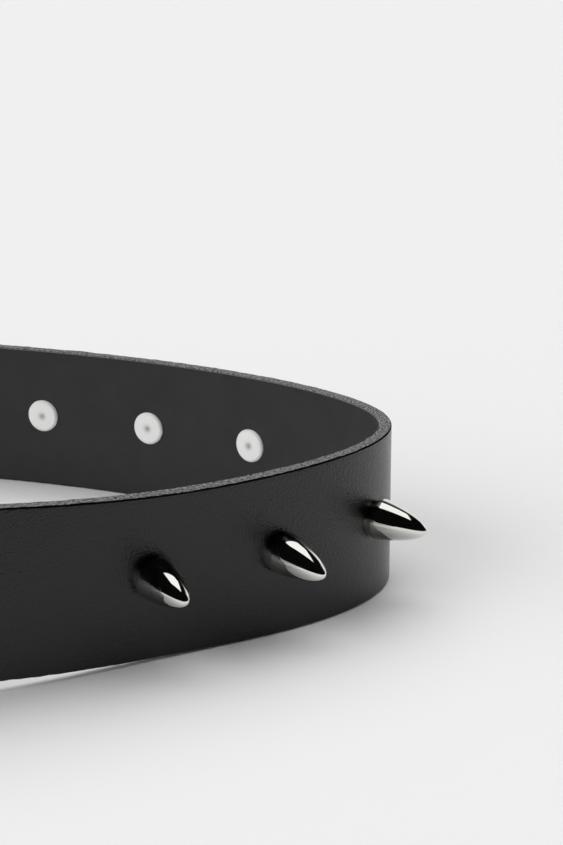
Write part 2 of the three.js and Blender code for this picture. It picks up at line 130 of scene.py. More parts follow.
class BuckleSizes(bpy.types.PropertyGroup):
    """Sizes of the buckle, its holes and the keeper."""

    hole_from_group: length("Hole from group", "First group's centre to the hole in use", 147.4)
    hole_pitch: length("Hole pitch", "Between prong holes", 25.0)
    hole_length: length("Hole length", "Length of a prong hole", 8.0)
    prong_diameter: length("Prong diameter", "Thickness of the prong", 3.0)
    bar_thickness: length("Bar thickness", "Thickness of the frame", 3.6)
    front_bar_width: length("Front bar width", "Width of the bar under the prong's tip", 5.0)
    side_bar_width: length("Side bar width", "Width of the upper and lower bars", 6.5)
    front_reach: length("Front reach", "Hole in use to the front bar", 9.0)
    heel_reach: length("Heel reach", "Hole in use back to the heel bar", 22.0)
    frame_corner: length("Frame corner", "Outer corner radius of the frame", 5.0)
    side_gap: length("Side gap", "Between the strap and a side bar", 1.0)
    keeper_width: length("Keeper width", "Width of the leather loop", 11.0)
    keeper_thickness: length("Keeper thickness", "Leather of the loop", 2.0)
    keeper_reach: length("Keeper reach", "Heel bar to the middle of the keeper", 22.0)


class BeltFinish(bpy.types.PropertyGroup):
    """Colours of the belt and of the surface it stands on."""

    face_black: colour("Leather face", "Dyed and waxed grain side", "#0a0a0a")
    flesh_black: colour("Leather inside", "Smoothed flesh side", "#363636")
    edge_grey: colour("Cut edge", "Raw fibres along the cut", "#666667")
    spike_metal: colour("Spike", "Chrome plate", "#e4e3df")
    # Painted reflection: the rivet backs' near-white stands in for the bright room their satin nickel
    # reflects.
    back_metal: colour("Rivet back", "Satin nickel plate", "#fdfcfb")
    buckle_metal: colour("Buckle", "Satin nickel plate", "#c9c9c6")
    thread: colour("Thread", "Waxed stitching thread", "#3c3b3a")
    board: colour("Board", "Seamless white board", "#f0f0f0")


def in_millimetres(group):
    """The lengths of a property group as plain numbers of millimetres."""
    lengths = [name for name in group.__annotations__ if group.bl_rna.properties[name].unit == "LENGTH"]
    return SimpleNamespace(**{name: getattr(group, name) / MM for name in lengths})


def smooth_step(share):
    t = np.clip(share, 0.0, 1.0)
    return t * t * (3.0 - 2.0 * t)


class Course:
    """The way the strap runs round the loop, and what stands where along it."""

    def __init__(self):
        scene = bpy.context.scene
        self.strap = strap = in_millimetres(scene.belt_strap)
        self.studs = in_millimetres(scene.belt_studs)
        self.buckle = buckle = in_millimetres(scene.belt_buckle)
        self.in_group = scene.belt_studs.in_group
        self.hole = -self.studs.first_group - buckle.hole_from_group
        self.heel = self.hole - buckle.heel_reach
        self.front = self.hole + buckle.front_reach
        self.tip = self.hole - strap.tip_length
        self.wrap_radius = buckle.bar_thickness * WRAP_SHARE + strap.clearance
        self.heel_depth = -strap.thickness - self.wrap_radius
        self.front_depth = strap.clearance + buckle.bar_thickness / 2
        self.lap = strap.thickness + strap.clearance
        self.buckle_lift = buckle.side_bar_width + buckle.side_gap
        self.frame_rise = strap.width / 2 + self.buckle_lift
        self.walk()

    def wrapped(self, s):
        return s - self.strap.loop_length * np.round(s / self.strap.loop_length)

    def bend(self, s):
        """Bend of the outer face: greatest at both ends, nearly even along the sides."""
        quarter = self.strap.loop_length / 4
        spread = self.strap.end_spread
        turn = spread * math.atan(quarter / spread)
        end = 1 / self.strap.end_radius
        side = (math.pi / 2 - end * turn) / (quarter - turn)
        from_end = np.minimum(abs(self.wrapped(s)), abs(self.wrapped(s - 2 * quarter)))
        return side + (end - side) / (1 + (from_end / spread) ** 2)

    def walk(self):
        """Lays the outer face out, seen from above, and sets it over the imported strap."""
        steps = round(self.strap.loop_length / PLAN_STEP)
        step = self.strap.loop_length / steps
        turns = self.bend((np.arange(steps) + 0.5) * step) * step
        heading = np.pi / 2 + np.concatenate([[0], np.cumsum(turns)])
        along = heading[:-1] + turns / 2
        x = np.concatenate([[0], np.cumsum(step * np.cos(along))])
        y = np.concatenate([[0], np.cumsum(step * np.sin(along))])
        x -= (x.max() + x.min()) / 2 - (STRAP_LOW.x + STRAP_HIGH.x) / 2 / MM
        y -= y.max() - STRAP_HIGH.y / MM
        self.grid = np.arange(steps + 1) * step
        self.x, self.y, self.heading = x, y, heading

    def frame_at(self, s):
        """The outer upper edge at s, with the directions of n and z, as rows of arrays."""
        s = np.asarray(s, float)
        round_loop = np.mod(s, self.strap.loop_length)
        x, y, heading = (np.interp(round_loop, self.grid, v) for v in (self.x, self.y, self.heading))
        past = abs(self.wrapped(s - (self.heel + self.front) / 2)) - (self.front - self.heel) / 2
        share = np.clip(1 - past / self.strap.lift_run, 0.0, 1.0)
        lift = self.buckle_lift * smooth_step(share**LIFT_EASE)
        from_lean = self.wrapped(s - LEAN_MIDDLE * self.strap.width) / (LEAN_SPREAD * self.strap.width)
        lean = np.arcsin(LEAN * np.exp(-(from_lean**2)))
        out_x, out_y = np.sin(heading), -np.cos(heading)
        cos, sin = np.cos(lean), np.sin(lean)
        normal = np.stack([out_x * cos, out_y * cos, -sin], -1)
        height = np.stack([out_x * sin, out_y * sin, cos], -1)
        edge = np.stack([x, y, lift + self.strap.width * cos], -1)
        return edge, normal, height

    def place(self, s, n, z):
        """Points in metres in the row's frame."""
        edge, normal, height = self.frame_at(s)
        n, z = np.asarray(n, float)[..., None], np.asarray(z, float)[..., None]
        return (edge + normal * n + height * (z - self.strap.width)) * MM

    def stand(self, s, n):
        """A matrix whose +Z leaves the face at half height, in metres."""
        _, normal, height = self.frame_at(s)
        origin = self.place(s, n, self.strap.width / 2 + self.studs.rise)
        rows = np.stack([np.cross(height, normal), height, normal], -1).tolist()
        turned = Matrix([[*row, 0.0] for row in rows] + [[0.0, 0.0, 0.0, 1.0]])
        return Matrix.Translation(Vector(origin.tolist())) @ turned

    def lap_at(self, s):
        """How far the free end stands outside the loop as it climbs over the heel bar."""
        start = self.hole - self.buckle.hole_length / 4
        end = self.heel + self.wrap_radius + self.strap.thickness
        return self.lap * smooth_step((start - s) / (start - end))

    def stud_places(self):
        studs = self.studs
        middle = (self.in_group - 1) / 2
        places = []
        for i in range(len(SPIKES)):
            group, one = divmod(i, self.in_group)
            places.append(-studs.first_group + group * studs.group_pitch + (one - middle) * studs.pitch)
        return places


# Meshes


def make_mesh(name, vertices, faces, materials, indices=None, uvs=None, smooth_angle=40.0):
    """A mesh object from arrays, smooth apart from edges sharper than smooth_angle degrees."""
    mesh = bpy.data.meshes.new(name)
    mesh.from_pydata([tuple(v) for v in vertices], [], [tuple(f) for f in faces])
    for material in materials:
        mesh.materials.append(material)
    if indices is not None:
        mesh.polygons.foreach_set("material_index", indices)
    if uvs is not None:
        layer = mesh.uv_layers.new(name="belt_mm")
        corners = np.empty(len(mesh.loops), dtype=np.int64)
        mesh.loops.foreach_get("vertex_index", corners)
        layer.data.foreach_set("uv", np.asarray(uvs, float)[corners].ravel())
    mesh.validate()
    mesh.polygons.foreach_set("use_smooth", [True] * len(mesh.polygons))
    mesh.set_sharp_from_angle(angle=math.radians(smooth_angle))
    piece = bpy.data.objects.new(name, mesh)
    bpy.context.collection.objects.link(piece)
    return piece


def finish_piece(piece, slot, *nodes):
    """Rides a piece on the belt's one body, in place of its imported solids."""
    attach(piece, "root")
    if nodes:
        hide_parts(*nodes)


def grid_faces(rows, columns, close_rows=False, capped=False):
    """Quads between consecutive rings, each a closed round of columns, and a cap at either end."""
    faces = []
    for i in range(rows if close_rows else rows - 1):
        here, there = i * columns, ((i + 1) % rows) * columns
        for j in range(columns):
            k = (j + 1) % columns
            faces.append((here + j, there + j, there + k, here + k))
    if capped:
        last = (rows - 1) * columns
        faces += [tuple(range(columns)), tuple(range(last, last + columns))[::-1]]
    return faces


def lathe(name, profile, sides, material, smooth_angle=35.0):
    """Turns a profile of (radius, height) pairs in millimetres that starts and ends on the axis."""
    angles = np.linspace(0, -2 * np.pi, sides, endpoint=False)
    radii, heights = (np.array(values)[:, None] for values in zip(*profile[1:-1]))
    rings = np.stack([radii * np.cos(angles), radii * np.sin(angles), heights + 0 * angles], -1)
    ends = [(0, 0, profile[0][1]), (0, 0, profile[-1][1])]
    vertices = np.concatenate([rings.reshape(-1, 3), ends]) * MM
    faces = grid_faces(len(rings), sides)
    first_end = len(rings) * sides
    last_ring = first_end - sides
    for j in range(sides):
        k = (j + 1) % sides
        faces += [(first_end, j, k), (first_end + 1, last_ring + k, last_ring + j)]
    return make_mesh(name, vertices, faces, [material], smooth_angle=smooth_angle)


def rounded_rectangle(low, high, radius, corner_points, side_points=0):
    """Points round a rectangle with round corners, from its lower right corner on."""
    (x0, y0), (x1, y1) = np.add(low, radius), np.subtract(high, radius)
    arcs = []
    for i, centre in enumerate([(x1, y0), (x1, y1), (x0, y1), (x0, y0)]):
        angles = np.linspace(i - 1, i, corner_points) * np.pi / 2
        arcs.append(centre + radius * np.stack([np.cos(angles), np.sin(angles)], -1))
    points = []
    for arc, following in zip(arcs, arcs[1:] + arcs[:1]):
        points += [arc, np.linspace(arc[-1], following[0], side_points + 2)[1:-1]]
    return np.concatenate(points)


def run_lengths(points):
    """How far along a line of points each of them is."""
    return np.concatenate([[0], np.cumsum(np.linalg.norm(np.diff(points, axis=0), axis=1))])


# Materials

# A Mix node's sockets by their place, because the ones for colours share the names of others.
MIX_SHARE, MIX_LOW, MIX_HIGH, MIX_RESULT = 0, 6, 7, 2
MULTIPLY = {"data_type": "RGBA", "blend_type": "MULTIPLY"}
SMOOTH_RANGE = {"interpolation_type": "SMOOTHSTEP"}

STUD_REACH = 20.0  # farther than this from a stud its nearness is 0
# Painted shade: the leather darkens round each stud's foot, between these two distances.
STUD_SHADE_RUN = (6.6, 4.9)  # from a stud's axis, where the groove round it begins and is darkest
EDGE_SHADE_RUN = (17.5, 18.5)  # from the strap's middle, where the painted shade along the edge begins and is darkest


def add_node(tree, kind, values=None, links=None, **settings):
    """Adds a node, sets its properties and sockets, and links named outputs to its inputs."""
    node = tree.nodes.new(f"ShaderNode{kind}")
    for key, value in settings.items():
        setattr(node, key, value)
    for key, value in (values or {}).items():
        node.inputs[key].default_value = value
    for key, (source, output) in (links or {}).items():
        tree.links.new(source.outputs[output], node.inputs[key])
    return node


def new_material(name):
    material = bpy.data.materials.new(name)
    material.use_nodes = True
    material.node_tree.nodes.clear()
    return material, material.node_tree


def close_material(material, shader, values, links=None):
    """Leads a last shader to the material's output, and gives the material back."""
    node = add_node(material.node_tree, shader, values, links)
    add_node(material.node_tree, "OutputMaterial", None, {"Surface": (node, 0)})
    return material


def scaled(values, factor=1.0):
    """A colour made lighter or darker, as the four numbers that a socket takes."""
    return (*(min(1.0, v * factor) for v in values), 1.0)


def per_metre(size_mm):
    """Scale of a noise or cell pattern whose features are size_mm across."""
    return 1 / (size_mm * MM)


def limits(*numbers):
    """The ends of a range and of what it turns into, by their sockets' names."""
    return dict(zip(("From Min", "From Max", "To Min", "To Max"), numbers))


def mottled(tree, dye, shades, pattern, low=0.3, high=0.7):
    """Takes a dye from its dark to its light shade as a pattern goes from low to high."""
    share = add_node(tree, "MapRange", limits(low, high), {"Value": pattern})
    values = {MIX_LOW: scaled(dye, shades[0]), MIX_HIGH: scaled(dye, shades[1])}
    return add_node(tree, "Mix", values, {MIX_SHARE: (share, "Result")}, data_type="RGBA")


def bridle_leather(finish):
    """Bridle leather, drum dyed black and waxed: the wax fills the grain, so it is matt with a
    faint broad shine, and small pores and creases catch the light."""
    material, tree = new_material("bridle_leather_waxed")
    spot = {"Vector": (add_node(tree, "TexCoord"), "Object")}
    # Cloudy patches of 16 mm, a pebbled grain of 0.55 mm and pores of 0.45 mm.
    cloud = add_node(tree, "TexNoise", {"Scale": per_metre(16), "Detail": 4, "Roughness": 0.6}, spot)
    values = {"Scale": per_metre(0.55), "Smoothness": 0.6}
    pebble = add_node(tree, "TexVoronoi", values, spot, feature="SMOOTH_F1")
    pore = add_node(tree, "TexNoise", {"Scale": per_metre(0.45), "Detail": 3, "Roughness": 0.65}, spot)
    tint = mottled(tree, finish.face_black, (0.86, 1.16), (cloud, "Fac"))
    # Painted shade: the leather is darkened in the groove round each stud, standing in for the shade at the
    # spike's foot.
    near = add_node(tree, "Attribute", attribute_name="stud_nearness_mm")
    values = limits(STUD_REACH - STUD_SHADE_RUN[0], STUD_REACH - STUD_SHADE_RUN[1], 1.0, 0.05)
    groove = add_node(tree, "MapRange", values, {"Value": (near, "Fac")}, **SMOOTH_RANGE)
    # Painted shade: the face's last millimetre darkens towards each long edge, standing in for the soft
    # shade under the rim's corner.
    place = add_node(tree, "UVMap", uv_map="belt_mm")
    split = add_node(tree, "SeparateXYZ", None, {"Vector": (place, "UV")})
    off_middle = add_node(tree, "Math", None, {0: (split, "Y")}, operation="ABSOLUTE")
    values = limits(*EDGE_SHADE_RUN, 1.0, 0.3)
    corner = add_node(tree, "MapRange", values, {"Value": (off_middle, 0)}, **SMOOTH_RANGE)
    both = {0: (groove, "Result"), 1: (corner, "Result")}
    painted_shade = add_node(tree, "Math", None, both, operation="MINIMUM")
    both = {MIX_LOW: (tint, MIX_RESULT), MIX_HIGH: (painted_shade, 0)}
    shaded_tint = add_node(tree, "Mix", {MIX_SHARE: 1.0}, both, **MULTIPLY)
    rough = add_node(tree, "MapRange", limits(0.25, 0.75, 0.2, 0.27), {"Value": (cloud, "Fac")})
    values = {"Strength": 0.55, "Distance": 0.00013}
    coarse = add_node(tree, "Bump", values, {"Height": (pebble, "Distance")})
    values = {"Strength": 0.65, "Distance": 0.00015}
    fine = add_node(tree, "Bump", values, {"Height": (pore, "Fac"), "Normal": (coarse, 0)})
    links = {"Base Color": (shaded_tint, MIX_RESULT), "Roughness": (rough, "Result"), "Normal": (fine, 0)}
    return close_material(material, "BsdfPrincipled", {"IOR": 1.5, "Specular IOR Level": 0.4}, links)


def flesh_leather(finish):
    """The same hide's flesh side, dyed, then glassed smooth: it has no pores, only a very fine
    nap, so it looks evenly matt and a little lighter."""
    material, tree = new_material("leather_flesh_side_glassed")
    spot = {"Vector": (add_node(tree, "TexCoord"), "Object")}
    # Cloudy patches of 9 mm and a nap of 0.3 mm.
    cloud = add_node(tree, "TexNoise", {"Scale": per_metre(9), "Detail": 5, "Roughness": 0.55}, spot)
    nap = add_node(tree, "TexNoise", {"Scale": per_metre(0.3), "Detail": 2}, spot)
    tint = mottled(tree, finish.flesh_black, (0.92, 1.08), (cloud, "Fac"))
    bump = add_node(tree, "Bump", {"Strength": 0.18, "Distance": 0.0001}, {"Height": (nap, "Fac")})
    values = {"IOR": 1.45, "Specular IOR Level": 0.3, "Roughness": 0.72}
    links = {"Base Color": (tint, MIX_RESULT), "Normal": (bump, 0)}
    return close_material(material, "BsdfPrincipled", values, links)


def raw_edge(finish):
    """The knife-cut edge, left undyed and unburnished: packed collagen fibres, grey, with dark
    pits between the bundles, fully matt."""
    material, tree = new_material("leather_cut_edge_raw")
    where = add_node(tree, "UVMap", uv_map="belt_mm")
    # A bundle of fibres is about 0.8 mm long along the strap and 0.4 mm wide across it.
    stretch = add_node(tree, "Mapping", {"Scale": (1.2, 2.4, 1.0)}, {"Vector": (where, "UV")})
    spot = {"Vector": (stretch, 0)}
    fibre = add_node(tree, "TexNoise", {"Scale": 1.0, "Detail": 5, "Roughness": 0.7}, spot)
    pits = add_node(tree, "TexVoronoi", {"Scale": 0.9}, spot)
    tint = mottled(tree, finish.edge_grey, (0.2, 2.3), (fibre, "Fac"), 0.42, 0.58)
    pit = add_node(tree, "MapRange", limits(0.08, 0.35, 0.2, 1.0), {"Value": (pits, "Distance")})
    both = {MIX_LOW: (tint, MIX_RESULT), MIX_HIGH: (pit, "Result")}
    darker = add_node(tree, "Mix", {MIX_SHARE: 1.0}, both, **MULTIPLY)
    bump = add_node(tree, "Bump", {"Strength": 0.7, "Distance": 0.0002}, {"Height": (fibre, "Fac")})
    links = {"Base Color": (darker, MIX_RESULT), "Normal": (bump, 0)}
    return close_material(material, "BsdfPrincipled", {"Specular IOR Level": 0.15, "Roughness": 0.95}, links)


def edge_dye():
    """Spirit edge dye, wiped over both ends and along the corner where the face meets the cut: it
    soaks in dead black and takes no wax, so the corner draws a thin black line under the pale cut."""
    material, tree = new_material("edge_dye_black")
    spot = {"Vector": (add_node(tree, "TexCoord"), "Object")}
    # The wipe leaves patches about 3 mm long.
    wipe = add_node(tree, "TexNoise", {"Scale": per_metre(3), "Detail": 2}, spot)
    values = {MIX_LOW: scaled(srgb("#030303")), MIX_HIGH: scaled(srgb("#0d0d0d"))}
    tint = add_node(tree, "Mix", values, {MIX_SHARE: (wipe, "Fac")}, data_type="RGBA")
    values = {"Roughness": 0.9, "Specular IOR Level": 0.05}
    return close_material(material, "BsdfPrincipled", values, {"Base Color": (tint, MIX_RESULT)})


def chrome_plate(finish):
    """Bright chromium over polished brass: mirror smooth, with only the faintest polishing haze."""
    material, tree = new_material("chrome_plate_polished")
    spot = {"Vector": (add_node(tree, "TexCoord"), "Object")}
    haze = add_node(tree, "TexNoise", {"Scale": per_metre(1.5), "Detail": 3}, spot)
    rough = add_node(tree, "MapRange", limits(0.3, 0.7, 0.02, 0.06), {"Value": (haze, "Fac")})
    values = {"Base Color": scaled(finish.spike_metal), "Metallic": 1.0}
    return close_material(material, "BsdfPrincipled", values, {"Roughness": (rough, "Result")})


def satin_plate(name, metal, rough_limits, metallic=1.0):
    """Nickel plate over a tumbled blank: soft, even reflections with a fine random scratch."""
    material, tree = new_material(name)
    spot = {"Vector": (add_node(tree, "TexCoord"), "Object")}
    # Scratches of 0.5 mm, as coarse as they need to show.
    scratch = add_node(tree, "TexNoise", {"Scale": per_metre(0.5), "Detail": 4, "Roughness": 0.7}, spot)
    rough = add_node(tree, "MapRange", limits(0.3, 0.7, *rough_limits), {"Value": (scratch, "Fac")})
    # Painted shade: the bottom of a rivet's dimple is darkened, standing in for the shade in its hollow.
    dimple = add_node(tree, "Attribute", attribute_name="dimple")
    values = {MIX_LOW: scaled(metal), MIX_HIGH: scaled(metal, 0.4)}
    tint = add_node(tree, "Mix", values, {MIX_SHARE: (dimple, "Fac")}, data_type="RGBA")
    bump = add_node(tree, "Bump", {"Strength": 0.12, "Distance": 0.00005}, {"Height": (scratch, "Fac")})
    links = {"Base Color": (tint, MIX_RESULT), "Roughness": (rough, "Result"), "Normal": (bump, 0)}
    return close_material(material, "BsdfPrincipled", {"Metallic": metallic}, links)


def waxed_thread(finish):
    """Bonded nylon thread drawn through wax: two twisted plies with a dull shine."""
    material, tree = new_material("nylon_thread_waxed")
    spot = {"Vector": (add_node(tree, "TexCoord"), "Object")}
    twist = add_node(tree, "TexWave", {"Scale": per_metre(4), "Distortion": 1.0}, spot)
    bump = add_node(tree, "Bump", {"Strength": 0.4, "Distance": 0.0001}, {"Height": (twist, "Fac")})
    values = {"Base Color": scaled(finish.thread), "Roughness": 0.5, "IOR": 1.53}
    return close_material(material, "BsdfPrincipled", values, {"Normal": (bump, 0)})


def matt_board(finish):
    """Seamless paper: white, matt, without grain at this distance."""
    material, _ = new_material("seamless_paper_white")
    values = {"Base Color": scaled(finish.board), "Roughness": 1.0, "Specular IOR Level": 0.0}
    return close_material(material, "BsdfPrincipled", values)


def black_flag():
    """Black velvet flag: gives polished metal its dark bands."""
    material, _ = new_material("velvet_flag_black")
    return close_material(material, "BsdfDiffuse", {"Color": scaled(srgb("#0d0d0d"))})


def glowing_paper(name, glow):
    """Paper or diffusing cloth with a lamp behind it: even white light, without a surface."""
    material, _ = new_material(name)
    return close_material(material, "Emission", {"Strength": glow})


# Strap

# The strap's materials, by their place in its list.
FACE, FLESH, CUT, DYED = range(4)

STATION_STEP = 1.0
WRAP_STATIONS = 15
TIP_STATIONS = 26
TIP_CROWDING = 1.4  # 1 spaces the stations evenly, more crowds them at the point
TIP_NARROWING = 0.88  # share of the width that is gone at the point
TIP_CURVE = 1.9  # how late the taper turns in
CORNER_STEPS = 3
DISH_SHARE = 0.62  # the dish falls off round this share of its radius
RIM_SHARE = 0.98  # beyond this share of half the width a place is on a cut edge
INNER_CORNER = (0.8, 0.999)  # shares of the leather's depth between which the knife nicks it
KNIFE_WANDER = 0.07
NICK_DEPTH = 0.35
NICK_RARITY = 1.7
HOLES_EACH_SIDE = 2  # of the prong hole in use
HOLE_CLEARANCE = 0.5  # round a prong, to each side
SLOT_REACH = 2.5  # of the slot in the fold past the heel bar, in prong diameters
CUT_PAST = 1.0  # how far a cutter stands out of the leather


def strap_stations(course):
    """Cross-sections in order from the free point to the end of the fold.

    Each row holds the s and n of the finished face, the s and n of the flesh side, and half the
    width there."""
    strap, buckle = course.strap, course.buckle
    t, half = strap.thickness, strap.width / 2
    rows = []
    for share in np.linspace(0, 1, TIP_STATIONS) ** TIP_CROWDING:
        s = course.tip + share * strap.tip_taper
        narrowed = half * (1 - TIP_NARROWING * (1 - share) ** TIP_CURVE)
        rows.append([s, course.lap, s, course.lap - t, narrowed])
    heel_again = course.heel + strap.loop_length
    start = course.tip + strap.tip_taper + STATION_STEP
    for s in [*np.arange(start, heel_again, STATION_STEP), heel_again]:
        n = float(course.lap_at(s))
        rows.append([s, n, s, n - t, half])
    radius = course.wrap_radius
    for angle in np.linspace(0, np.pi, WRAP_STATIONS)[1:]:
        row = []
        for reach in (radius + t, radius):
            row += [heel_again + reach * math.sin(angle), course.heel_depth + reach * math.cos(angle)]
        rows.append([*row, half])
    settle = (buckle.keeper_reach - buckle.keeper_width / 2) * SETTLE_SHARE
    for back in np.arange(STATION_STEP, strap.fold_length + 0.1, STATION_STEP):
        opened = (2 * radius - strap.clearance) * (1 - float(smooth_step(back / settle)))
        n = -t - strap.clearance - opened
        rows.append([heel_again - back, n - t, heel_again - back, n, half])
    return np.array(rows)


def stud_reaches(course, s, z):
    """For each stud, how far places on the strap are from its axis."""
    rise = z - course.strap.width / 2 - course.studs.rise
    return [np.hypot(course.wrapped(s - place), rise) for place in course.stud_places()]


def dish_depth(course, s, z):
    """How far the studs press the leather in at a place on either face."""
    radius = DISH_SHARE * course.studs.dish_radius
    pressed = sum(np.exp(-((reach / radius) ** 4)) for reach in stud_reaches(course, s, z))
    return course.studs.dish_depth * pressed


def stud_nearness(course, s, z):
    """How near the nearest stud is, in millimetres: STUD_REACH at its middle, 0 well away."""
    return STUD_REACH - np.minimum(np.minimum.reduce(stud_reaches(course, s, z)), STUD_REACH)


def section_ring(course):
    """The strap's section as shares: across the leather, up its height, and which material.

    It starts at the foot of the face. Heights run from -1 to 1, and depths from 0, the face, to
    1, the flesh side."""
    strap = course.strap
    radii = np.array([strap.edge_round / 2 / strap.thickness, strap.edge_round / (strap.width / 2)])
    left, (right, top) = radii[0], 1 - radii
    centres = np.array([(left, top), (right, top), (right, -top), (left, -top)])
    ring = []
    # Each side's points and material, and the material of the corner that follows it.
    sides = [(36, FACE, DYED), (7, CUT, CUT), (16, FLESH, FLESH), (7, CUT, FACE)]
    for i, (count, side, corner) in enumerate(sides):
        angle = (1 - i / 2) * np.pi
        start, end = centres[[i - 1, i]] + radii * (math.cos(angle), math.sin(angle))
        ring += [(*point, side) for point in np.linspace(start, end, count, endpoint=False)]
        for turned in angle - np.linspace(0, np.pi / 2, CORNER_STEPS, endpoint=False):
            ring.append((*(centres[i] + radii * (math.cos(turned), math.sin(turned))), corner))
    return ring


def slot_outline(start, end, width, steps=10):
    """Points of a slot with round ends, as s and z about the strap's middle."""
    radius = width / 2
    angles = np.linspace(-np.pi / 2, np.pi / 2, steps)
    right = [(end - radius + radius * math.cos(a), radius * math.sin(a)) for a in angles]
    left = [(start + radius - radius * math.cos(a), -radius * math.sin(a)) for a in angles]
    return right + left


def cutter(course, outline, low, high):
    """A prism through the leather, as vertices and faces."""
    s, z = np.array(outline).T
    middle = course.strap.width / 2
    bottom = course.place(s, np.full(len(s), low), z + middle)
    top = course.place(s, np.full(len(s), high), z + middle)
    count = len(outline)
    faces = [tuple(range(count))[::-1], tuple(range(count, 2 * count))]
    faces += [(j, (j + 1) % count, count + (j + 1) % count, count + j) for j in range(count)]
    return np.concatenate([bottom, top]), faces


def cut_holes(piece, course):
    """Cuts the prong holes and the slot that the prong leaves the fold by."""
    buckle, strap = course.buckle, course.strap
    half = buckle.hole_length / 2
    cuts = []
    for i in range(-HOLES_EACH_SIDE, HOLES_EACH_SIDE + 1):
        s = course.hole + i * buckle.hole_pitch
        depth = float(course.lap_at(s))
        outline = slot_outline(s - half, s + half, buckle.prong_diameter + 2 * HOLE_CLEARANCE)
        cuts.append((outline, depth - strap.thickness - strap.clearance / 2, depth + CUT_PAST))
    end = course.heel + course.wrap_radius + strap.thickness + CUT_PAST
    start = course.heel - SLOT_REACH * buckle.prong_diameter
    outline = slot_outline(start, end, buckle.prong_diameter + 4 * HOLE_CLEARANCE)
    innermost = course.heel_depth - course.wrap_radius - strap.thickness - CUT_PAST
    cuts.append((outline, innermost, strap.clearance / 2))
    vertices, faces = [], []
    for outline, low, high in cuts:
        points, prism_faces = cutter(course, outline, low, high)
        faces += [tuple(i + len(vertices) for i in face) for face in prism_faces]
        vertices.extend(points.tolist())
    tool = make_mesh("hole_cutter", vertices, faces, [])
    modifier = piece.modifiers.new("holes", "BOOLEAN")
    modifier.operation = "DIFFERENCE"
    modifier.solver = "EXACT"
    modifier.object = tool
    apply_modifiers(piece)
    bpy.data.objects.remove(tool, do_unlink=True)


def apply_modifiers(piece):
    graph = bpy.context.evaluated_depsgraph_get()
    done = bpy.data.meshes.new_from_object(piece.evaluated_get(graph), depsgraph=graph)
    old = piece.data
    piece.modifiers.clear()
    piece.data = done
    done.name = piece.name
    bpy.data.meshes.remove(old)


def build_strap(course, finish):
    rows = strap_stations(course)
    ring = section_ring(course)
    depth_share, height_share, kinds = (np.array(values) for values in zip(*ring))
    face_s, face_n, flesh_s, flesh_n, half = rows.T[:, :, None]
    s = face_s + (flesh_s - face_s) * depth_share
    n = face_n + (flesh_n - face_n) * depth_share
    z = course.strap.width / 2 + half * height_share
    along = run_lengths((rows[:, 0:2] + rows[:, 2:4]) / 2)[:, None] + 0 * z
    # The studs press both faces in, and the knife leaves the cut edges a little uneven.
    press = dish_depth(course, s, z) * (1 - 2 * depth_share)
    single = (along > course.strap.tip_length) & (along < along.max() - course.strap.fold_length)
    n = n - press * single * np.sign(face_n - flesh_n)
    generator = np.random.default_rng(11)
    on_rim = (abs(height_share) > RIM_SHARE)[None, :]
    rough = generator.normal(0, 1, z.shape)
    rough = (rough + np.roll(rough, 1, 0) + np.roll(rough, 1, 1)) / 3
    z = z + on_rim * rough * KNIFE_WANDER * np.sign(height_share)
    inner_corner = on_rim & (depth_share > INNER_CORNER[0]) & (depth_share < INNER_CORNER[1])
    nick = np.clip(generator.normal(0, 1, (len(rows), 1)) - NICK_RARITY, 0, 1)
    n = n + inner_corner * nick * NICK_DEPTH
    vertices = course.place(s, n, z).reshape(-1, 3)
    faces = grid_faces(len(rows), len(ring), capped=True)
    indices = [*np.tile(kinds, len(rows) - 1).tolist(), DYED, DYED]
    across = np.where(on_rim, depth_share * course.strap.thickness, half * height_share)
    uvs = np.stack([along, across], -1).reshape(-1, 2)
    materials = [bridle_leather(finish), flesh_leather(finish), raw_edge(finish), edge_dye()]
    piece = make_mesh("strap_leather", vertices, faces, materials, indices, uvs, smooth_angle=60.0)
    near = piece.data.attributes.new("stud_nearness_mm", "FLOAT", "POINT")
    near.data.foreach_set("value", stud_nearness(course, s, z).ravel())
    cut_holes(piece, course)
    piece.data.set_sharp_from_angle(angle=math.radians(60.0))
    finish_piece(piece, "black_leather", "strap")


# Studs

# They hang a little in the soft leather, degrees down and degrees to the side: the three that the
# photograph shows, and the range of the others.
SPIKE_TILTS = ((2.2, 4.1), (7.0, 2.9), (3.9, -7.0))
OTHER_TILTS = ((2.5, -3.0), (6.0, 3.0))
SPIKE_SINK = 0.4
SPIKE_TAPER = 1.2
SPIKE_NOSE = 0.52
SPIKE_CROWDING = 1.7  # more than 1 crowds the rings at the tip
SPIKE_RINGS = 56
SPIKE_SIDES = 64
COLLAR_TUCK = 0.3
SPIKE_FOOT = ((0.95, -0.12), (0.985, 0.0))  # share of the radius, height over the collar

DIMPLE_RADIUS = 0.9
DIMPLE_DEPTH = 0.2
GROOVE_PLACE = 0.74  # of the head's radius
GROOVE_WIDTH = 0.3
GROOVE_DEPTH = 0.035
RIM_START = 0.8  # of the head's radius
RIM_HEIGHT = 0.2  # of the head's height
HEAD_SINK = 0.5
HEAD_RINGS = 34
HEAD_SIDES = 56


